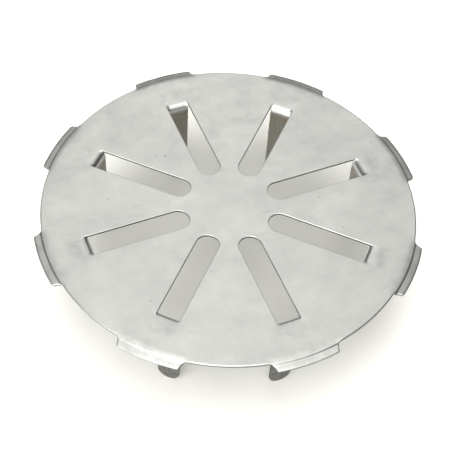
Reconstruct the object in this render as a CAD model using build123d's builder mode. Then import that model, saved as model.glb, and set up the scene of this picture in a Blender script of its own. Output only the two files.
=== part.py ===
"""Round snap-in strainer for a 4 inch floor drain, stamped from one stainless steel sheet.

Frame: the origin is the centre of the plate's top face, +Z is up, and slot 1 lies along +X.
Everything is in millimetres. The stamping's regions are separate solids that meet face to face:
the perforated plate, the eight stepped rim tabs that rest on the drain body, the eight formed
bends at the slots' outer ends, and the eight spring legs that grip the pipe.
"""

import os
from math import cos, radians, sin, sqrt

from build123d import *

# Driving dimensions
COUNT = 8  # slots, legs and tabs, evenly spaced
SHEET = 0.8  # 22 gauge stainless
PLATE_RADIUS = 65.2
OVERALL_RADIUS = 136.5 / 2  # 5-3/8 in over the rim tabs
LIP_DROP = 0.8  # the tabs step down by one sheet thickness
SLOT_WIDTH = 8.1
SLOT_INNER_CENTRE = 19.05  # centre of each slot's rounded inner end
SLOT_OUTER_END = 52.0  # where the plate starts to bend down into the leg
BEND_RADIUS = 2.1  # over the outside of the bend
LEG_WIDTH = 8.0
LEG_DROP = 38.6  # leg tip below the plate's top face

# Rim tabs
TAB_ROOT_WIDTH = 22.8
TAB_TIP_WIDTH = 20.8
TAB_ROOT_FILLET = 2.5
TAB_TIP_FILLET = 0.9
TAB_HALF_ANGLE = 12.5  # of the sector that holds a tab and both its root fillets
TAB_INNER_RADIUS = 63.0  # where the tab solid meets the plate solid
STEP_RADIUS = 1.0  # of both mid-surface arcs in the tab's step

# Edges rounded by the punch on the top face
PUNCH_ROUND = 0.25

# The spring leg turns about a line below the bend, where a cantilever seems to pivot
PIVOT_SHARE = 0.15  # of the leg's free length
HINGE_GAP = 0.06  # parting gap at that line

PITCH = 360 / COUNT
LEG_INNER_FACE = SLOT_OUTER_END - BEND_RADIUS
LEG_FREE_LENGTH = LEG_DROP - BEND_RADIUS
HINGE_Z = -(BEND_RADIUS + PIVOT_SHARE * LEG_FREE_LENGTH)
MID_BEND_RADIUS = BEND_RADIUS - SHEET / 2
STEP_LENGTH = sqrt(4 * STEP_RADIUS * LIP_DROP - LIP_DROP**2)


def section_plane(angle):
    """The upright plane through the Z axis at this angle: local x is radial, local y is up."""
    a = radians(angle)
    return Plane(origin=(0, 0, 0), x_dir=(cos(a), sin(a), 0), z_dir=(sin(a), -cos(a), 0))


def leg_plane(angle):
    """The upright plane of a leg's inner face: local x is tangential, local y is up."""
    a = radians(angle)
    origin = (LEG_INNER_FACE * cos(a), LEG_INNER_FACE * sin(a), 0)
    return Plane(origin=origin, x_dir=(-sin(a), cos(a), 0), z_dir=(cos(a), sin(a), 0))


def near_radius(shape_list, radius):
    """The vertices that lie at this distance from the Z axis."""
    return shape_list.filter_by(lambda v: abs(sqrt(v.X**2 + v.Y**2) - radius) < 0.01)


# Plan outline of the blank: the disc with its eight rim tabs
with BuildSketch() as outline:
    with PolarLocations(0, COUNT):
        Polygon(
            (0, -TAB_ROOT_WIDTH / 2),
            (sqrt(PLATE_RADIUS**2 - TAB_ROOT_WIDTH**2 / 4), -TAB_ROOT_WIDTH / 2),
            (OVERALL_RADIUS + 1, -TAB_TIP_WIDTH / 2),
            (OVERALL_RADIUS + 1, TAB_TIP_WIDTH / 2),
            (sqrt(PLATE_RADIUS**2 - TAB_ROOT_WIDTH**2 / 4), TAB_ROOT_WIDTH / 2),
            (0, TAB_ROOT_WIDTH / 2),
            align=None,
        )
    Circle(OVERALL_RADIUS, mode=Mode.INTERSECT)
    Circle(PLATE_RADIUS)
    fillet(near_radius(outline.vertices(), PLATE_RADIUS), TAB_ROOT_FILLET)
    fillet(near_radius(outline.vertices(), OVERALL_RADIUS), TAB_TIP_FILLET)

# One sector of the rim, which the tab solid takes from the plate solid
with BuildSketch() as rim_sector:
    with BuildLine():
        reach = OVERALL_RADIUS + 5
        lower = Line(
            PolarLine((0, 0), TAB_INNER_RADIUS, -TAB_HALF_ANGLE, mode=Mode.PRIVATE) @ 1,
            PolarLine((0, 0), reach, -TAB_HALF_ANGLE, mode=Mode.PRIVATE) @ 1,
        )
        upper = Line(
            PolarLine((0, 0), TAB_INNER_RADIUS, TAB_HALF_ANGLE, mode=Mode.PRIVATE) @ 1,
            PolarLine((0, 0), reach, TAB_HALF_ANGLE, mode=Mode.PRIVATE) @ 1,
        )
        ThreePointArc(lower @ 0, (TAB_INNER_RADIUS, 0), upper @ 0)
        ThreePointArc(lower @ 1, (reach, 0), upper @ 1)
    make_face()


def make_plate():
    """The flat perforated disc, cut back where the rim tabs and the bends take over."""
    with BuildPart() as plate:
        with BuildSketch():
            add(outline.sketch)
            with PolarLocations(0, COUNT):
                add(rim_sector.sketch, mode=Mode.SUBTRACT)
        extrude(amount=-SHEET)
        with BuildSketch():
            with PolarLocations(0, COUNT):
                with Locations((SLOT_INNER_CENTRE, 0)):
                    Circle(SLOT_WIDTH / 2)
                    Rectangle(
                        SLOT_OUTER_END - SLOT_INNER_CENTRE,
                        SLOT_WIDTH,
                        align=(Align.MIN, Align.CENTER),
                    )
        extrude(amount=-SHEET, mode=Mode.SUBTRACT)
        top_edges = plate.faces().sort_by(Axis.Z)[-1].inner_wires().edges()
        slot_ends = [e for e in top_edges if abs(e.length - SLOT_WIDTH) < 0.01]
        fillet([e for e in top_edges if e not in slot_ends], PUNCH_ROUND)
    plate.part.label = "strainer_plate"
    return plate.part


def make_rim_tab(number, angle):
    """One tab: flat at its root, then a step down to a lip that rests on the drain body."""
    with BuildPart() as tab:
        with BuildSketch(section_plane(angle - TAB_HALF_ANGLE)):
            with BuildLine():
                step_middle = (PLATE_RADIUS + STEP_LENGTH / 2, -(SHEET + LIP_DROP) / 2)
                step_end = (PLATE_RADIUS + STEP_LENGTH, -SHEET / 2 - LIP_DROP)
                root = Line((TAB_INNER_RADIUS, -SHEET / 2), (PLATE_RADIUS, -SHEET / 2))
                TangentArc(root @ 1, step_middle, tangent=(1, 0))
                TangentArc(step_end, step_middle, tangent=(-1, 0))
                Line(step_end, (OVERALL_RADIUS + 1, step_end[1]))
            trace(line_width=SHEET)
        revolve(axis=Axis.Z, revolution_arc=2 * TAB_HALF_ANGLE)
        with BuildSketch(Plane.XY.offset(-5).rotated((0, 0, angle))):
            add(outline.sketch)
        extrude(amount=10, mode=Mode.INTERSECT)
    tab.part.label = f"rim_tab_{number}"
    return tab.part


def make_leg_bend(number, angle):
    """The formed bend at a slot's outer end, with the short stub of leg above the pivot line."""
    with BuildPart() as bend:
        with BuildSketch(section_plane(angle)):
            with BuildLine():
                mid_x = LEG_INNER_FACE + SHEET / 2
                arc_end = (mid_x, -SHEET / 2 - MID_BEND_RADIUS)
                TangentArc((SLOT_OUTER_END, -SHEET / 2), arc_end, tangent=(-1, 0))
                Line(arc_end, (mid_x, HINGE_Z + HINGE_GAP / 2))
            trace(line_width=SHEET)
        extrude(amount=LEG_WIDTH / 2, both=True)
    bend.part.label = f"leg_bend_{number}"
    return bend.part


def make_spring_leg(number, angle):
    """The straight spring leg below the pivot line, with its fully rounded tip."""
    with BuildPart() as leg:
        with BuildSketch(leg_plane(angle)):
            tip_centre = LEG_WIDTH / 2 - LEG_DROP
            straight = HINGE_Z - HINGE_GAP / 2 - tip_centre
            with Locations((0, tip_centre)):
                Circle(LEG_WIDTH / 2)
                Rectangle(LEG_WIDTH, straight, align=(Align.CENTER, Align.MIN))
        extrude(amount=SHEET)
    leg.part.label = f"spring_leg_{number}"
    return leg.part


pieces = [make_plate()]
for index in range(COUNT):
    angle = index * PITCH
    pieces.append(make_rim_tab(index + 1, angle))
    pieces.append(make_leg_bend(index + 1, angle))
    pieces.append(make_spring_leg(index + 1, angle))

os.makedirs("parts", exist_ok=True)
for piece in pieces:
    export_step(piece, f"parts/{piece.label}.step")

print(f"pivot line {-HINGE_Z:.2f} mm below the top face, {LEG_INNER_FACE + SHEET / 2:.2f} mm from the axis")
print(f"across the legs {2 * (LEG_INNER_FACE + SHEET):.1f} mm, inside them {2 * LEG_INNER_FACE:.1f} mm")
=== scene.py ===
from math import atan2, cos, degrees, hypot, pi, radians, sin, sqrt

import bmesh
import bpy
import numpy as np
from mathutils import Matrix, Vector, noise
from mathutils.geometry import delaunay_2d_cdt


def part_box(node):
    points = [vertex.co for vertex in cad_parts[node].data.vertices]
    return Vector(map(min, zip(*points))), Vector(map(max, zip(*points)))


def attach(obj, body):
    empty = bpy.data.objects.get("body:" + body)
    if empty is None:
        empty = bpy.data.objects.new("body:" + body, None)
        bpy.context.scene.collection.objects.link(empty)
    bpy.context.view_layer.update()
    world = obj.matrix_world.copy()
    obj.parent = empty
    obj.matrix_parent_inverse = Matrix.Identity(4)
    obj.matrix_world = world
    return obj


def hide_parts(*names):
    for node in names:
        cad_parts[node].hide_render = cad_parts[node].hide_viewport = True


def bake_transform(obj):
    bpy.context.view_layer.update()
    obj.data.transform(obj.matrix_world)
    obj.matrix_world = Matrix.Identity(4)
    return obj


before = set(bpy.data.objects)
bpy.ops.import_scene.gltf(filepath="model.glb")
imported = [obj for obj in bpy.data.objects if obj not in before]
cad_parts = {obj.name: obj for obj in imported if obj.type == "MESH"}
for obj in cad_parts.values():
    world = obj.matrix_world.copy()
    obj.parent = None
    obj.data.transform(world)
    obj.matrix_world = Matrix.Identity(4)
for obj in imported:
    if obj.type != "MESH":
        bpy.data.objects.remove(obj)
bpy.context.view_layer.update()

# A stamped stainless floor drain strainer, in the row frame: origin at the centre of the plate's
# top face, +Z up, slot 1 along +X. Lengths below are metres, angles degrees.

MM = 0.001
COUNT = 8
PITCH = 360 / COUNT

# Sizes read from the frame
plate_low, plate_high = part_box("strainer_plate")
leg_low, leg_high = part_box("spring_leg_1")
SHEET = plate_high.z - plate_low.z
LIP_DROP = -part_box("rim_tab_1")[0].z - SHEET
SLOT_OUTER_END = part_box("leg_bend_1")[1].x
LEG_INNER_FACE = leg_low.x
BEND_RADIUS = SLOT_OUTER_END - LEG_INNER_FACE
LEG_WIDTH = leg_high.y - leg_low.y
LEG_DROP = -leg_low.z

# Sizes that the boxes don't give, as in the CAD source
OVERALL_RADIUS = 68.25 * MM
PLATE_RADIUS = 65.2 * MM
SLOT_WIDTH = 8.1 * MM
SLOT_INNER_CENTRE = 19.05 * MM
TAB_ROOT_WIDTH = 22.8 * MM
TAB_TIP_WIDTH = 20.8 * MM
TAB_ROOT_FILLET = 2.5 * MM
TAB_TIP_FILLET = 0.9 * MM
TAB_HALF_ANGLE = 12.5
TAB_INNER_RADIUS = 63.0 * MM

# The slot's outer corners are rounded, and the leg's root is as wide as the straight between them
SLOT_CORNER = 0.9 * MM
ROOT_HALF = SLOT_WIDTH / 2 - SLOT_CORNER

# The press draws the plate down a little at each bend, so the bend starts on a slope
DIP_DEPTH = 0.16 * MM
DIP_REACH = 2.8 * MM
DIP_POWER = 2.5
FIRST_TILT = radians(8)

# The plate's unevenness: waves per metre, place in the noise, height
WAVES = [(28, 3.1, 0.045 * MM), (75, 8.4, 0.012 * MM)]

# The punch rounds the edges of the top face, and leaves a small burr round underneath
PUNCH_ROUND = 0.23 * MM
BURR_ROUND = 0.08 * MM
LEG_PUNCH_ROUND = 0.16 * MM
LEG_BURR_ROUND = 0.12 * MM
OUTER_SHARE = 1.8  # the outer edge is rounded this much more than the slots
HOLD = 0.12 * MM  # a flat band beside each rounded edge keeps the face's shading flat
LEAST_SHARE = 0.4  # an edge rounded less than this is shaded as a sharp one
SHARP_ANGLE = radians(50)

# The camera of a product shot from above the front edge
VIEW_AZIMUTH = -25.25
VIEW_ELEVATION = 51.87
VIEW_ROLL = 3.90
VIEW_DISTANCE = 400.5 * MM
VIEW_SIDE = -0.98 * MM
VIEW_LIFT = -7.11 * MM
LENS = 92.1


# ---------------------------------------------------------------- outlines

def polar(radius, angle):
    a = radians(angle)
    return Vector((radius * cos(a), radius * sin(a)))


def turned(point, angle):
    a = radians(angle)
    return Vector((point.x * cos(a) - point.y * sin(a), point.x * sin(a) + point.y * cos(a)))


def arc(centre, radius, start, end, count):
    """Points from start to end degrees, both included."""
    return [centre + polar(radius, start + (end - start) * i / count) for i in range(count + 1)]


def line(start, end, count):
    """Points from start to end, both included."""
    return [start.lerp(end, i / count) for i in range(count + 1)]


def tab_side():
    """The free edge of half a tab, from the plate's rim over the root fillet to the tip."""
    root = Vector((sqrt(PLATE_RADIUS**2 - TAB_ROOT_WIDTH**2 / 4), TAB_ROOT_WIDTH / 2))
    tip = Vector((OVERALL_RADIUS + 1 * MM, TAB_TIP_WIDTH / 2))
    along = (tip - root).normalized()
    outward = Vector((-along.y, along.x))
    # Root fillet: outside the rim circle, beside the side line
    offset = root + outward * TAB_ROOT_FILLET
    step = circle_hit(offset, along, PLATE_RADIUS + TAB_ROOT_FILLET)
    root_centre = offset + along * step
    rim_angle = degrees(atan2(root_centre.y, root_centre.x))
    side_start = root_centre - outward * TAB_ROOT_FILLET
    from_angle = rim_angle + 180
    to_angle = degrees(atan2(-outward.y, -outward.x)) % 360
    fillet_arc = arc(root_centre, TAB_ROOT_FILLET, from_angle, to_angle, 16)
    # Tip fillet: inside the outer circle, inside the side line
    offset = root - outward * TAB_TIP_FILLET
    step = circle_hit(offset, along, OVERALL_RADIUS - TAB_TIP_FILLET)
    tip_centre = offset + along * step
    side_end = tip_centre + outward * TAB_TIP_FILLET
    tip_angle = degrees(atan2(tip_centre.y, tip_centre.x))
    corner = arc(tip_centre, TAB_TIP_FILLET, degrees(atan2(outward.y, outward.x)), tip_angle, 6)
    sides = line(side_start, side_end, 8)
    tip_arc = arc(Vector((0, 0)), OVERALL_RADIUS, tip_angle, 0, 20)
    return rim_angle, fillet_arc + sides[1:-1] + corner + tip_arc[1:]


def circle_hit(point, direction, radius):
    """How far along direction from point the circle round the origin is met, going outward."""
    along = point.dot(direction)
    return -along + sqrt(along**2 - point.length_squared + radius**2)


RIM_STEPS = 24  # parts of the plate's rim between two tabs

# The vertices of the seams, shared by the plate and the piece that joins it
SEAM_ANGLES = [-TAB_HALF_ANGLE + 2 * TAB_HALF_ANGLE * i / 24 for i in range(25)]
SEAM_RADII = [TAB_INNER_RADIUS, 63.7 * MM, 64.4 * MM, PLATE_RADIUS]
ROOT_STATIONS = [ROOT_HALF * (1 - i / 5) for i in range(11)]


class Rim:
    """A closed border: points, the way into the metal, and how much of the rounding each gets."""

    def __init__(self):
        self.points, self.inward, self.share = [], [], []

    def free(self, points, inward=None, share=OUTER_SHARE):
        for point in points:
            self.points.append(point)
            self.inward.append(inward)
            self.share.append(share)

    def seam(self, points):
        self.free(points, Vector((0, 0)), 0.0)

    def settled(self, metal_on_left):
        """Fills in each free point's direction from its neighbours."""
        count = len(self.points)
        for i, known in enumerate(self.inward):
            if known is None:
                chord = (self.points[(i + 1) % count] - self.points[i - 1]).normalized()
                left = Vector((-chord.y, chord.x))
                self.inward[i] = left if metal_on_left else -left
        return self


def plate_outer_rim():
    rim = Rim()
    for k in range(COUNT):
        middle = k * PITCH
        rim.seam([polar(r, middle - TAB_HALF_ANGLE) for r in reversed(SEAM_RADII[1:-1])])
        rim.seam([polar(TAB_INNER_RADIUS, middle + a) for a in SEAM_ANGLES])
        rim.seam([polar(r, middle + TAB_HALF_ANGLE) for r in SEAM_RADII[1:-1]])
        start = middle + TAB_HALF_ANGLE
        end = middle + PITCH - TAB_HALF_ANGLE
        rim.free(arc(Vector((0, 0)), PLATE_RADIUS, start, end, RIM_STEPS))
        rim.inward[-RIM_STEPS - 1] = -polar(1, start)
        rim.inward[-1] = -polar(1, end)
    return rim.settled(metal_on_left=True)


def slot_rim(angle):
    """A slot's edge, from its rounded inner end to the seam at the leg's root."""
    half = SLOT_WIDTH / 2
    inner_centre = Vector((SLOT_INNER_CENTRE, 0))
    straight_end = SLOT_OUTER_END - SLOT_CORNER
    edge = line(Vector((SLOT_INNER_CENTRE, half)), Vector((straight_end, half)), 30)
    corner_centre = Vector((straight_end, ROOT_HALF))
    turns = [90 - 15 * i for i in range(1, 6)]
    rim = Rim()
    rim.free(arc(inner_centre, half, 270, 90, 24)[1:-1], share=1.0)
    rim.free(edge, Vector((0, 1)), 1.0)
    for a in turns:
        rim.free([corner_centre + polar(SLOT_CORNER, a)], polar(1, a), a / 90)
    rim.seam([Vector((SLOT_OUTER_END, y)) for y in ROOT_STATIONS])
    for a in reversed(turns):
        below = corner_centre + polar(SLOT_CORNER, a)
        rim.free([Vector((below.x, -below.y))], polar(1, -a), a / 90)
    rim.free([Vector((p.x, -p.y)) for p in reversed(edge)], Vector((0, -1)), 1.0)
    # the rim runs clockwise round the hole, so the metal lies on its left
    rim = rim.settled(metal_on_left=True)
    rim.points = [turned(p, angle) for p in rim.points]
    rim.inward = [turned(q, angle) for q in rim.inward]
    return rim


def tab_rim():
    rim_angle, side = tab_side()
    between = (TAB_HALF_ANGLE + rim_angle) / 2
    rim = Rim()
    rim.seam([polar(r, -TAB_HALF_ANGLE) for r in SEAM_RADII[:-1]])
    rim.free([polar(PLATE_RADIUS, -TAB_HALF_ANGLE)], -polar(1, -TAB_HALF_ANGLE))
    rim.free([polar(PLATE_RADIUS, -between)])
    rim.free([Vector((p.x, -p.y)) for p in side])
    rim.free(list(reversed(side))[1:])
    rim.free([polar(PLATE_RADIUS, between)])
    rim.free([polar(PLATE_RADIUS, TAB_HALF_ANGLE)], -polar(1, TAB_HALF_ANGLE))
    rim.seam([polar(r, TAB_HALF_ANGLE) for r in reversed(SEAM_RADII[:-1])])
    rim.seam([polar(TAB_INNER_RADIUS, a) for a in reversed(SEAM_ANGLES[1:-1])])
    return rim.settled(metal_on_left=True)


def leg_rim(length):
    """A leg unrolled: x runs from the root seam to the tip, y across."""
    half = LEG_WIDTH / 2
    corner = half - ROOT_HALF
    corner_centre = Vector((corner, ROOT_HALF))
    tip_centre = Vector((length - half, 0))
    sides = line(Vector((corner, half)), Vector((tip_centre.x, half)), 32)[:-1]
    turns = [180 - 15 * i for i in range(1, 6)]
    rim = Rim()
    rim.seam([Vector((0, y)) for y in ROOT_STATIONS])
    for a in turns:
        near = corner_centre + polar(corner, a)
        rim.free([Vector((near.x, -near.y))], -polar(1, -a), 2 - a / 90)
    rim.free([Vector((p.x, -p.y)) for p in sides], Vector((0, 1)), 1.0)
    rim.free(arc(tip_centre, half, -90, 90, 24), share=1.0)
    rim.free(list(reversed(sides)), Vector((0, -1)), 1.0)
    for a in reversed(turns):
        rim.free([corner_centre + polar(corner, a)], -polar(1, a), 2 - a / 90)
    return rim.settled(metal_on_left=True)


# ---------------------------------------------------------------- sheet meshes

def inside(points, borders):
    """Which points have an odd number of borders between them and the outside."""
    px, py = points[:, 0], points[:, 1]
    odd = np.zeros(len(points), bool)
    for border in borders:
        for a, b in zip(border, border[1:] + border[:1]):
            if a.y != b.y:
                crossed = (a.y > py) != (b.y > py)
                odd ^= crossed & (px < a.x + (py - a.y) * (b.x - a.x) / (b.y - a.y))
    return odd


def clear_of(points, borders, gap):
    """Which points stand at least this far from every border."""
    clear = np.ones(len(points), bool)
    for border in borders:
        for a, b in zip(border, border[1:] + border[:1]):
            start, run = np.array(a), np.array(b - a)
            share = np.clip((points - start) @ run / max(run @ run, 1e-18), 0, 1)
            clear &= np.linalg.norm(points - start - share[:, None] * run, axis=1) > gap
    return clear


def edge_rows(top_round, bottom_round):
    """Rows down a free edge as (inset, depth, from the bottom?)."""
    rows = [(top_round + HOLD, 0, False), (top_round, 0, False)]
    rows += [
        (top_round * (1 - sin(radians(a))), top_round * (1 - cos(radians(a))), False)
        for a in (22.5, 45, 67.5, 90)
    ]
    rows += [
        (bottom_round * (1 - sin(radians(a))), bottom_round * (1 - cos(radians(a))), True)
        for a in (90, 45, 0)
    ]
    return rows + [(bottom_round + HOLD, 0, True)]


def sheet_mesh(name, rims, fill, gap, place, blank, top_round, bottom_round):
    """A closed sheet of metal, outlined in the flat, placed in space by depth.

    blank gives a flat point's place in the blank that was stamped, which the finish follows."""
    rows = edge_rows(top_round, bottom_round)
    flat, edges, borders = [], [], []
    for rim in rims:
        first = len(flat)
        count = len(rim.points)
        border = [p + q * rows[0][0] * s for p, q, s in zip(rim.points, rim.inward, rim.share)]
        borders.append(border)
        flat += border
        edges += [(first + i, first + (i + 1) % count) for i in range(count)]
    border_count = len(flat)
    spots = np.array(fill)
    kept = inside(spots, borders) & clear_of(spots, borders, gap)
    flat += [point for point, good in zip(fill, kept) if good]
    points, _, triangles, origins, _, _ = delaunay_2d_cdt(flat, edges, [], 0, 1e-9, True)
    first_of = [min(ids) for ids in origins]
    centres = np.array([sum((points[i] for i in t), Vector((0, 0))) / 3 for t in triangles])
    triangles = [t for t, good in zip(triangles, inside(centres, borders)) if good]

    mesh = bmesh.new()
    in_blank = mesh.verts.layers.float_vector.new("blank")
    rounding = mesh.verts.layers.float.new("rounding")

    def vertex(point, depth, share=1.0):
        made = mesh.verts.new(place(point, depth))
        made[in_blank] = (*blank(point), -depth)
        made[rounding] = share
        return made

    last = len(rows) - 1
    rings = []
    for inset, depth, from_bottom in rows:
        ring = []
        for rim in rims:
            for p, q, s in zip(rim.points, rim.inward, rim.share):
                d = SHEET - depth * s if from_bottom else depth * s
                ring.append(vertex(p + q * inset * s, d, s))
        rings.append(ring)
    tops = rings[0] + [vertex(p, 0) for p in flat[border_count:]]
    bottoms = rings[last] + [vertex(p, SHEET) for p in flat[border_count:]]
    for t in triangles:
        a, b, c = (first_of[i] for i in t)
        mesh.faces.new((tops[a], tops[b], tops[c]))
        mesh.faces.new((bottoms[c], bottoms[b], bottoms[a]))
    cut_row = [i for i, row in enumerate(rows) if row[2]][0] - 1
    for k in range(last):
        for a, b in edges:
            face = mesh.faces.new((rings[k][a], rings[k + 1][a], rings[k + 1][b], rings[k][b]))
            face.material_index = 1 if k == cut_row else 0
    bmesh.ops.remove_doubles(mesh, verts=mesh.verts, dist=1e-7)
    bmesh.ops.recalc_face_normals(mesh, faces=mesh.faces)
    for face in mesh.faces:
        face.smooth = True
    for edge in mesh.edges:
        shares = sorted(v[rounding] for v in edge.verts)
        # Where the rounding ends at a seam, the walls there must not shade the face
        ends_rounding = shares[1] < LEAST_SHARE or (shares[0] == 0 and shares[1] > 1)
        edge.smooth = edge.calc_face_angle(0) < SHARP_ANGLE and not ends_rounding
    data = bpy.data.meshes.new(name)
    mesh.to_mesh(data)
    mesh.free()
    obj = bpy.data.objects.new(name, data)
    bpy.context.scene.collection.objects.link(obj)
    return obj


def dip(x, y):
    """How far the press has drawn the plate down near the closest bend."""
    turn = PITCH * round(degrees(atan2(y, x)) / PITCH)
    local = turned(Vector((x, y)), -turn)
    aside = max(0.0, abs(local.y) - ROOT_HALF)
    share = max(0.0, 1 - hypot(local.x - SLOT_OUTER_END, aside) / DIP_REACH)
    return DIP_DEPTH * share**DIP_POWER


def waviness(x, y):
    """The height of the sheet's top face after stamping."""
    waves = (noise.noise(Vector((x * rate, y * rate, seed))) * high for rate, seed, high in WAVES)
    return sum(waves) - dip(x, y)


def plate_place(point, depth):
    """Where a point of the flat plate stands."""
    return Vector((point.x, point.y, waviness(point.x, point.y) - depth))


def hex_points(spacing, reach):
    """A field of evenly spaced points round the origin, in staggered rows."""
    count = 2 * (int(reach / spacing) + 2)
    field = (
        Vector(((i + 0.5 * (j % 2)) * spacing, j * spacing * sqrt(3) / 2))
        for j in range(-count, count)
        for i in range(-count, count)
    )
    return [point for point in field if point.length < reach]


def make_plate():
    coarse, fine, gap = 1.8 * MM, 0.55 * MM, 0.4 * MM
    rims = [plate_outer_rim()] + [slot_rim(k * PITCH) for k in range(COUNT)]
    fill = [p for p in hex_points(coarse, PLATE_RADIUS) if dip(*p) == 0]
    fill += [p for p in hex_points(fine, PLATE_RADIUS) if dip(*p) > 0]
    return sheet_mesh(
        "plate_sheet", rims, fill, gap, plate_place, Vector.copy, PUNCH_ROUND, BURR_ROUND
    )


# The tab's step down its middle: radius in mm and slope in degrees, straight in between
STEP_SLOPES = [
    (63.05, 0), (64.0, 7), (64.8, 10), (65.2, 17), (65.4, 42), (65.48, 54), (65.58, 54), (65.80, 11),
    (67.0, 10), (67.6, 16), (68.3, 38),
]
TIP_DROP = LIP_DROP + 0.30 * MM

# The step fades out this many degrees from the seam, except past the rim, where it fades in
SEAM_MARGIN = 0.3
SEAM_FADE = 2.6
RIM_FADE = 1.2 * MM
PIECE_GAP = 0.12 * MM  # how far the vertices within a tab or leg keep from its border


def step_table():
    """Radius, drop and slope down the tab's middle, drawn by adding up the slopes."""
    radii, slopes = np.array(STEP_SLOPES).T
    stations = np.arange(TAB_INNER_RADIUS / MM, radii[-1], 0.01)
    slope = np.radians(np.interp(stations, radii, slopes))
    drop = np.cumsum(np.tan(slope))
    drop *= TIP_DROP / np.interp(OVERALL_RADIUS / MM, stations, drop)
    return stations * MM, drop, slope


STEP_RADII, STEP_DROPS, STEP_TILTS = step_table()


def share_of(value):
    """The value, kept from 0 to 1."""
    return min(1.0, max(0.0, value))


def tab_place_at(angle):
    def place(point, depth):
        radius = point.length
        off_axis = abs(degrees(atan2(point.y, point.x)))
        drop = float(np.interp(radius, STEP_RADII, STEP_DROPS))
        slope = float(np.interp(radius, STEP_RADII, STEP_TILTS))
        side = share_of((TAB_HALF_ANGLE - SEAM_MARGIN - off_axis) / SEAM_FADE)
        side = side * side * (3 - 2 * side)
        past_rim = share_of((radius - PLATE_RADIUS) / RIM_FADE)
        share = side + (1 - side) * past_rim
        slope *= share
        moved = point * ((radius - depth * sin(slope)) / radius)
        spot = turned(moved, angle)
        z = waviness(spot.x, spot.y) - drop * share - depth * cos(slope)
        return Vector((spot.x, spot.y, z))
    return place


def make_tab(number, angle):
    """A tab, with its rows of vertices close together down the step. The rows are in mm."""
    coarse = [63.25 + 0.25 * i for i in range(8)] + [66.0 + 0.3 * i for i in range(8)]
    fine = [65.2 + 0.05 * i for i in range(13)]
    fill = [
        polar(r * MM, a)
        for r in sorted(coarse + fine)
        for a in np.linspace(-TAB_HALF_ANGLE, TAB_HALF_ANGLE, 49)
    ]
    return sheet_mesh(
        f"tab_sheet_{number}", [tab_rim()], fill, PIECE_GAP, tab_place_at(angle),
        lambda point: turned(point, angle), PUNCH_ROUND, BURR_ROUND,
    )


def bend_at(across):
    """Where the bend starts and its radius, from the dip's slope to straight down.

    It starts later by the corners, and ends at the leg's inner face everywhere."""
    corner = LEG_WIDTH / 2 - ROOT_HALF
    aside = min(corner, max(0.0, abs(across) - ROOT_HALF))
    start = corner - sqrt(corner**2 - aside**2)
    return start, (BEND_RADIUS - start) / (1 - sin(FIRST_TILT))


def straight_drop(along, across):
    """How far down a point past the bend stands."""
    start, radius = bend_at(across)
    return radius * cos(FIRST_TILT) + along - start - radius * (pi / 2 - FIRST_TILT)


BEND_LENGTH = bend_at(0)[1] * (pi / 2 - FIRST_TILT)
LEG_LENGTH = LEG_DROP - DIP_DEPTH - straight_drop(0, 0)
LEVEL_RUN = 0.4 * MM  # at the seam the sheet stands level, and leans with the bend after this
EVEN_START = 4 * MM  # past the bend, the rows of vertices even out over this stretch
EVEN_RUN = 8 * MM


def leg_place_at(angle):
    def place(point, depth):
        start, radius = bend_at(point.y)
        along = max(0.0, point.x - start)
        tilt = min(FIRST_TILT + along / radius, pi / 2)
        lean = tilt * share_of(along / LEVEL_RUN)
        x = SLOT_OUTER_END - start - radius * (sin(tilt) - sin(FIRST_TILT)) + depth * sin(lean)
        z = radius * (cos(tilt) - cos(FIRST_TILT))
        if tilt == pi / 2:
            evened = share_of((point.x - EVEN_START) / EVEN_RUN)
            uneven_drop, even_drop = straight_drop(point.x, point.y), straight_drop(point.x, 0)
            z = -uneven_drop * (1 - evened) - even_drop * evened
        root = turned(Vector((SLOT_OUTER_END, point.y)), angle)
        spot = turned(Vector((x, point.y)), angle)
        return Vector((spot.x, spot.y, z - depth * cos(lean) + waviness(root.x, root.y)))
    return place


def make_leg(number, angle):
    """A bend and its leg in one, unrolled, with rows of vertices close together in the bend."""
    rows = [BEND_LENGTH * i / 20 for i in range(1, 21)]
    rows += [BEND_LENGTH + i * MM for i in range(1, int(LEG_LENGTH / MM))]
    fill = [Vector((x, LEG_WIDTH * (i / 16 - 0.5))) for x in rows for i in range(1, 16)]
    return sheet_mesh(
        f"leg_sheet_{number}", [leg_rim(LEG_LENGTH)], fill, PIECE_GAP, leg_place_at(angle),
        lambda point: turned(Vector((SLOT_OUTER_END - point.x, point.y)), angle),
        LEG_PUNCH_ROUND, LEG_BURR_ROUND,
    )


# ---------------------------------------------------------------- materials

TONE = (0.66, 0.67, 0.64)
WARM_TONE = (0.68, 0.675, 0.65)
OLIVE_SKIN = (0.47, 0.46, 0.39)
BROWN_SKIN = (0.42, 0.32, 0.22)
OUTER_SKIN = (0.80, 0.78, 0.72)
# The cut face's colours: partly the cut's own dull grey, partly painted shade of the slot walls
CUT_DARK_SHADED = (0.11, 0.105, 0.095)
CUT_LIGHT_SHADED = (0.24, 0.23, 0.21)
FLOOR_TONE = (0.93, 0.925, 0.875, 1)
WHITE = (1, 1, 1, 1)
STUDIO_WHITE = (1, 1, 0.985, 1)

# Where the legs' stains start and grow, measured back from the slot's outer end
STAIN_START, STAIN_FULL = 2.6 * MM, 4.6 * MM
BROWN_FULL, BROWN_END = 5 * MM, 16 * MM
STAIN_RAGGED = 0.9 * MM
# Where the painted shade round each bend's outer side is darkest
BEND_SHADE_RADIUS = 55.5 * MM
ROLLING_TURN = radians(-VIEW_AZIMUTH)  # the rolling lines run across the view


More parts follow.
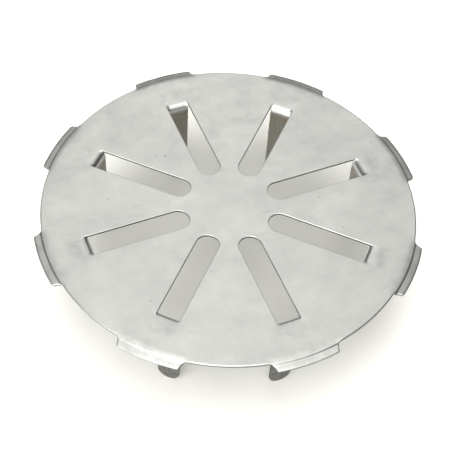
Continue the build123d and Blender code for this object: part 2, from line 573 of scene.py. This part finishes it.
class Nodes:
    """Short calls that add shader nodes and join them."""

    def __init__(self, tree):
        self.tree = tree

    def add(self, kind, inputs=None, **settings):
        node = self.tree.nodes.new(kind)
        for key, value in settings.items():
            setattr(node, key, value)
        for key, value in (inputs or {}).items():
            if isinstance(value, bpy.types.NodeSocket):
                self.tree.links.new(value, node.inputs[key])
            else:
                node.inputs[key].default_value = value
        return node

    def maths(self, operation, a, b=0.5, clamp=False):
        made = self.add("ShaderNodeMath", {0: a, 1: b}, operation=operation, use_clamp=clamp)
        return made.outputs[0]

    def noise(self, vector, scale, detail=4.0, rough=0.5, distort=0.0):
        made = self.add(
            "ShaderNodeTexNoise",
            {"Vector": vector, "Scale": scale, "Detail": detail, "Roughness": rough,
             "Distortion": distort},
        )
        return made.outputs["Fac"]

    def span(self, value, low, high, to_low=0.0, to_high=1.0):
        made = self.add(
            "ShaderNodeMapRange",
            {"Value": value, "From Min": low, "From Max": high, "To Min": to_low,
             "To Max": to_high},
        )
        return made.outputs["Result"]

    def stretched(self, vector, scale, turn=0.0):
        made = self.add(
            "ShaderNodeMapping", {"Vector": vector, "Scale": scale, "Rotation": (0, 0, turn)}
        )
        return made.outputs["Vector"]


def new_material(name):
    material = bpy.data.materials.new(name)
    material.use_nodes = True
    material.node_tree.nodes.clear()
    nodes = Nodes(material.node_tree)
    shader = nodes.add("ShaderNodeBsdfPrincipled")
    output = nodes.add("ShaderNodeOutputMaterial")
    material.node_tree.links.new(shader.outputs["BSDF"], output.inputs["Surface"])
    return material, nodes, shader


def hairlines(nodes, place, turn, across, low):
    """Short straight scratches one way: the crests of a noise drawn out along that way."""
    lane = nodes.stretched(place, (across / 40, across, across), turn)
    crests = nodes.span(nodes.noise(lane, 1.0, 1.0, 0.5), low, low + 0.05)
    patch = nodes.span(nodes.noise(place, 55, 1.0), 0.50, 0.60)
    return nodes.maths("MULTIPLY", crests, patch, clamp=True)


def in_slot_frame(nodes, place):
    """The distance from the middle, and the nearest slot's own coordinates: out, and across."""
    split = nodes.add("ShaderNodeSeparateXYZ", {"Vector": place}).outputs
    angle = nodes.maths("ARCTAN2", split["Y"], split["X"])
    squares = [nodes.maths("POWER", split[axis], 2.0) for axis in "XY"]
    reach = nodes.maths("SQRT", nodes.maths("ADD", *squares))
    half_pitch = radians(PITCH / 2)
    turn = nodes.add(
        "ShaderNodeMath", {0: angle, 1: half_pitch, 2: -half_pitch}, operation="WRAP"
    ).outputs[0]
    out = nodes.maths("MULTIPLY", reach, nodes.maths("COSINE", turn))
    across = nodes.maths("MULTIPLY", reach, nodes.maths("SINE", turn))
    return reach, out, nodes.maths("ABSOLUTE", across)


def bend_shade_and_tab_marks(nodes, place):
    """Painted shade round the bends' outer side, and darker mottling over the tabs and the plate
    just inside them.
    """
    reach, out, across = in_slot_frame(nodes, place)
    past_bend = nodes.maths("ABSOLUTE", nodes.maths("SUBTRACT", out, BEND_SHADE_RADIUS))
    # Painted shade: a darker arc just outside each bend, where the drawn-down plate shades itself
    painted_bend_shade = nodes.maths(
        "MULTIPLY",
        nodes.span(past_bend, 0.5 * MM, 4 * MM, 1.0, 0.0),
        nodes.span(across, 3 * MM, 9 * MM, 1.0, 0.0),
    )
    tab_mark = nodes.maths(
        "MULTIPLY",
        nodes.span(reach, 60 * MM, 64.6 * MM),
        nodes.span(across, 8 * MM, 13 * MM, 1.0, 0.0),
    )
    uneven = nodes.span(nodes.noise(place, 160, 3.0, 0.65), 0.38, 0.62)
    return nodes.maths("MULTIPLY", nodes.maths("MAXIMUM", painted_bend_shade, tab_mark), uneven)


def mixed(nodes, factor, first, second):
    """A colour between two, each a socket or a plain colour."""
    node = nodes.add("ShaderNodeMix", {0: factor}, data_type="RGBA")
    for slot, colour in ((6, first), (7, second)):
        if isinstance(colour, bpy.types.NodeSocket):
            nodes.tree.links.new(colour, node.inputs[slot])
        else:
            node.inputs[slot].default_value = (*colour, 1)
    return node.outputs[2]


def scaled(colour, share):
    return tuple(min(1.0, c * share) for c in colour)


def bumped(nodes, shader, height, strength, distance):
    bump = nodes.add(
        "ShaderNodeBump", {"Height": height, "Strength": strength, "Distance": distance}
    )
    nodes.tree.links.new(bump.outputs["Normal"], shader.inputs["Normal"])


def stainless(name, stained):
    """Mill-finish stainless sheet: cloudy tone, rolling lines, fine grain, scratches, specks,
    painted shade round the bends and darker mottling on the tabs.
    """
    material, nodes, shader = new_material(name)
    place = nodes.add("ShaderNodeAttribute", attribute_name="blank").outputs["Vector"]
    cloud = nodes.noise(nodes.stretched(place, (38, 64, 50), ROLLING_TURN), 1.0, 5.0, 0.6, 0.5)
    blotch = nodes.noise(place, 190, 4.0, 0.65)
    rolling = nodes.noise(nodes.stretched(place, (45, 1100, 600), ROLLING_TURN), 1.0, 3.0, 0.6)
    fine = nodes.noise(place, 2600, 3.0, 0.6)
    marks = hairlines(nodes, place, 0.35, 1500, 0.70)
    for turn, across, low in ((-0.75, 1200, 0.71), (1.5, 1700, 0.72)):
        marks = nodes.maths("MAXIMUM", marks, hairlines(nodes, place, turn, across, low))
    dots = nodes.add("ShaderNodeTexVoronoi", {"Vector": place, "Scale": 260.0}).outputs["Distance"]
    specks = nodes.maths(
        "MULTIPLY",
        nodes.span(dots, 0.05, 0.10, 1.0, 0.0),
        nodes.span(nodes.noise(place, 85, 2.0), 0.60, 0.64),
    )
    shade = nodes.span(cloud, 0.32, 0.68, 0.0, 0.53)
    shade = nodes.maths("ADD", shade, nodes.span(blotch, 0.3, 0.7, 0.0, 0.35))
    shade = nodes.maths("ADD", shade, nodes.span(rolling, 0.3, 0.7, 0.0, 0.12))
    colour = mixed(nodes, shade, scaled(TONE, 0.88), scaled(WARM_TONE, 1.10))
    # Painted shade round the bends, with darker mottling over the tabs
    bend_shade_and_tab_mark = nodes.maths("MULTIPLY", bend_shade_and_tab_marks(nodes, place), 0.55)
    colour = mixed(nodes, bend_shade_and_tab_mark, colour, scaled(TONE, 0.66))
    colour = mixed(nodes, nodes.maths("MULTIPLY", marks, 0.5), colour, scaled(TONE, 0.72))
    colour = mixed(nodes, specks, colour, scaled(TONE, 0.42))
    if stained:
        colour = leg_stain(nodes, place, colour)
    nodes.tree.links.new(colour, shader.inputs["Base Color"])
    shader.inputs["Metallic"].default_value = 1.0
    rough = nodes.maths(
        "ADD", nodes.span(shade, 0.2, 0.8, 0.36, 0.27), nodes.maths("MULTIPLY", marks, 0.12)
    )
    nodes.tree.links.new(rough, shader.inputs["Roughness"])
    height = nodes.maths(
        "ADD",
        nodes.maths("MULTIPLY", nodes.maths("ADD", fine, rolling), 0.5),
        nodes.maths("MULTIPLY", nodes.maths("ADD", marks, specks), -0.8),
    )
    bumped(nodes, shader, height, 0.4, 0.02 * MM)
    return material


def leg_stain(nodes, place, clean):
    """The legs' dull skin: brown stains high on the inner face, olive grey lower, paler outside."""
    _, out, _ = in_slot_frame(nodes, place)
    depth = nodes.add("ShaderNodeSeparateXYZ", {"Vector": place}).outputs["Z"]
    drips = nodes.noise(nodes.stretched(place, (420, 420, 420)), 1.0, 5.0, 0.7, 0.8)
    smears = nodes.span(drips, 0.40, 0.62)
    high = nodes.span(out, SLOT_OUTER_END - BROWN_END, SLOT_OUTER_END - BROWN_FULL)
    brown = nodes.maths("MULTIPLY", smears, nodes.span(high, 0.0, 1.0, 0.25, 1.0))
    inner = mixed(nodes, brown, OLIVE_SKIN, BROWN_SKIN)
    grit = nodes.span(nodes.noise(place, 1300, 4.0, 0.7), 0.36, 0.64)
    inner = mixed(nodes, nodes.maths("MULTIPLY", grit, 0.5), inner, scaled(OLIVE_SKIN, 0.55))
    bare = nodes.maths("MULTIPLY", smears, grit)
    outer = mixed(nodes, bare, scaled(OUTER_SKIN, 0.55), OUTER_SKIN)
    skin = mixed(nodes, nodes.span(depth, -0.9 * SHEET, -0.5 * SHEET), outer, inner)
    ragged = nodes.maths("ADD", out, nodes.span(drips, 0.3, 0.7, -STAIN_RAGGED, STAIN_RAGGED))
    below = nodes.span(ragged, SLOT_OUTER_END - STAIN_START, SLOT_OUTER_END - STAIN_FULL)
    return mixed(nodes, below, clean, skin)


def shaded_sheared_edge():
    """The cut face of the sheet: a burnished band over a duller torn one, finely scored, both
    darkened further with painted shade of the walls inside the slots.
    """
    material, nodes, shader = new_material("shaded_sheared_edge")
    place = nodes.add("ShaderNodeAttribute", attribute_name="blank").outputs["Vector"]
    scores = nodes.noise(nodes.stretched(place, (1.0, 1.0, 0.06)), 5200, 3.0, 0.6)
    depth = nodes.add("ShaderNodeSeparateXYZ", {"Vector": place}).outputs["Z"]
    burnished = nodes.span(depth, -0.6 * SHEET, -0.45 * SHEET)
    colour = mixed(nodes, nodes.span(scores, 0.35, 0.65), CUT_DARK_SHADED, CUT_LIGHT_SHADED)
    colour = mixed(nodes, burnished, CUT_DARK_SHADED, colour)
    nodes.tree.links.new(colour, shader.inputs["Base Color"])
    shader.inputs["Metallic"].default_value = 1.0
    nodes.tree.links.new(nodes.span(scores, 0.3, 0.7, 0.36, 0.55), shader.inputs["Roughness"])
    bumped(nodes, shader, scores, 0.5, 0.03 * MM)
    return material


# ---------------------------------------------------------------- stage

def view_matrix():
    el, roll, az = radians(VIEW_ELEVATION), radians(VIEW_ROLL), radians(VIEW_AZIMUTH)
    back = Vector((0, -cos(el), sin(el)))
    right = Vector((1, 0, 0))
    up = back.cross(right)
    place = back * VIEW_DISTANCE + right * VIEW_SIDE + up * VIEW_LIFT
    rolled_right = right * cos(roll) + up * sin(roll)
    rolled_up = up * cos(roll) - right * sin(roll)
    axes = Matrix((rolled_right, rolled_up, back)).transposed().to_4x4()
    return Matrix.Rotation(az, 4, "Z") @ Matrix.Translation(place) @ axes


def make_camera():
    data = bpy.data.cameras.new("camera")
    data.lens = LENS
    data.sensor_width = 36
    data.clip_start, data.clip_end = 0.01, 20
    camera = bpy.data.objects.new("camera", data)
    camera.matrix_world = view_matrix()
    bpy.context.scene.collection.objects.link(camera)
    bpy.context.scene.camera = camera


def make_floor():
    """A pale floor just under the leg tips, which the steel doesn't mirror."""
    mesh = bmesh.new()
    bmesh.ops.create_grid(mesh, x_segments=1, y_segments=1, size=3.0)
    data = bpy.data.meshes.new("floor")
    mesh.to_mesh(data)
    mesh.free()
    floor = bpy.data.objects.new("floor", data)
    floor.location.z = -LEG_DROP - 0.1 * MM
    bpy.context.scene.collection.objects.link(floor)
    material, nodes, shader = new_material("pale_floor")
    shader.inputs["Base Color"].default_value = FLOOR_TONE
    shader.inputs["Roughness"].default_value = 0.9
    shader.inputs["Specular IOR Level"].default_value = 0.0
    data.materials.append(material)
    floor.visible_glossy = False


KEY_STRENGTH = 0.9
KEY_ANGLE = radians(48)
KEY_FROM = (-0.25, -0.45, 0.85)  # in the view's frame: right, ahead, up


def make_lamp():
    """A wide soft key from above the front, for the floor alone: the steel mirrors the studio."""
    data = bpy.data.lights.new("key", "SUN")
    data.energy = KEY_STRENGTH
    data.angle = KEY_ANGLE
    lamp = bpy.data.objects.new("key", data)
    towards = Matrix.Rotation(radians(VIEW_AZIMUTH), 3, "Z") @ Vector(KEY_FROM)
    lamp.rotation_euler = towards.to_track_quat("Z", "Y").to_euler()
    lamp.visible_glossy = False
    bpy.context.scene.collection.objects.link(lamp)


# The studio as the steel mirrors it: sine of the elevation, and brightness
STUDIO = [
    (-1.0, 0.34), (-0.8, 0.40), (-0.5, 0.80), (-0.1, 0.90), (0.0, 0.48), (0.1, 0.24), (0.42, 0.24),
    (0.55, 0.36), (0.64, 1.34), (0.74, 1.28), (0.80, 1.03), (0.86, 0.97), (0.91, 1.60), (1.0, 2.5),
]

RAMP_SCALE = 2  # the ramp's colours hold the brightness divided by this

# Soft boxes: direction in the view's frame, cosines where they end and are full, and brightness
SOFT_BOXES = [
    ((-0.50, -0.70, 0.35), 0.72, 0.90, 1.6),
    ((0.0, -0.95, 0.30), 0.50, 0.95, 0.35),
    ((0.10, -0.45, 0.90), 0.80, 0.95, 1.0),
]
BACKDROP_STRENGTH = 1.1


def make_world():
    """Bright table, dark walls, a white ceiling and soft boxes at the front."""
    world = bpy.data.worlds.new("studio")
    bpy.context.scene.world = world
    world.use_nodes = True
    world.node_tree.nodes.clear()
    nodes = Nodes(world.node_tree)
    direction = nodes.add("ShaderNodeTexCoord").outputs["Generated"]
    to_view = nodes.add(
        "ShaderNodeVectorRotate",
        {"Vector": direction, "Angle": -radians(VIEW_AZIMUTH)},
        rotation_type="Z_AXIS",
    ).outputs["Vector"]
    split = nodes.add("ShaderNodeSeparateXYZ", {"Vector": to_view}).outputs
    height = split["Z"]
    ramp = nodes.add("ShaderNodeValToRGB", {"Fac": nodes.span(height, -1, 1)})
    elements = ramp.color_ramp.elements
    while len(elements) < len(STUDIO):
        elements.new(0.5)
    for element, (sine, level) in zip(elements, STUDIO):
        element.position = (sine + 1) / 2
        shown = level / RAMP_SCALE
        element.color = (shown, shown, shown * 0.985, 1)
    level = nodes.maths("MULTIPLY", ramp.outputs["Color"], RAMP_SCALE)
    # The ceiling is darker to the sides, and the table is shaded in front
    aside = nodes.span(nodes.maths("ABSOLUTE", split["X"]), 0.01, 0.60, 1.0, 0.26)
    ahead = nodes.span(split["Y"], -0.2, -0.6, 1.0, 0.72)
    above = nodes.span(height, -0.05, 0.05)
    share = nodes.add("ShaderNodeMix", {0: above, 2: ahead, 3: aside}).outputs[0]
    level = nodes.maths("MULTIPLY", level, share)
    level = nodes.maths("MULTIPLY", level, nodes.span(split["X"], -1, 1, 1.3, 0.7))
    # Little light reaches the floor from below the rim's height, so it darkens under the plate
    on_floor = nodes.add("ShaderNodeLightPath").outputs["Is Diffuse Ray"]
    over_rim = nodes.span(height, 0.46, 0.66, 0.05, 1.5)
    share = nodes.add("ShaderNodeMix", {0: on_floor, 2: 1.0, 3: over_rim}).outputs[0]
    level = nodes.maths("MULTIPLY", level, share)
    for towards, edge, full, strength in SOFT_BOXES:
        near = nodes.add(
            "ShaderNodeVectorMath", {0: to_view, 1: Vector(towards).normalized()},
            operation="DOT_PRODUCT",
        ).outputs["Value"]
        level = nodes.maths("ADD", level, nodes.span(near, edge, full, 0.0, strength))
    studio = nodes.add("ShaderNodeBackground", {"Color": STUDIO_WHITE, "Strength": level})
    backdrop = nodes.add(
        "ShaderNodeBackground", {"Color": WHITE, "Strength": BACKDROP_STRENGTH}
    )
    seen = nodes.add("ShaderNodeLightPath").outputs["Is Camera Ray"]
    both = nodes.add("ShaderNodeMixShader", {0: seen})
    nodes.tree.links.new(studio.outputs[0], both.inputs[1])
    nodes.tree.links.new(backdrop.outputs[0], both.inputs[2])
    output = nodes.add("ShaderNodeOutputWorld")
    nodes.tree.links.new(both.outputs[0], output.inputs["Surface"])


# ---------------------------------------------------------------- assembly

make_camera()
make_world()
make_floor()
make_lamp()
plate_steel = stainless("stainless_plate", stained=False)
leg_steel = stainless("stainless_leg", stained=True)
cut_steel = shaded_sheared_edge()


def finish_piece(piece, steel, *nodes):
    piece.data.materials.append(steel)
    piece.data.materials.append(cut_steel)
    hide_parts(*nodes)
    return piece


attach(finish_piece(make_plate(), plate_steel, "strainer_plate"), "grate")
for k in range(COUNT):
    number, angle = k + 1, k * PITCH
    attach(finish_piece(make_tab(number, angle), plate_steel, f"rim_tab_{number}"), "grate")
    leg = make_leg(number, angle)
    finish_piece(leg, leg_steel, f"leg_bend_{number}", f"spring_leg_{number}")
    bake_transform(leg)

bpy.context.scene.view_settings.view_transform = "Standard"
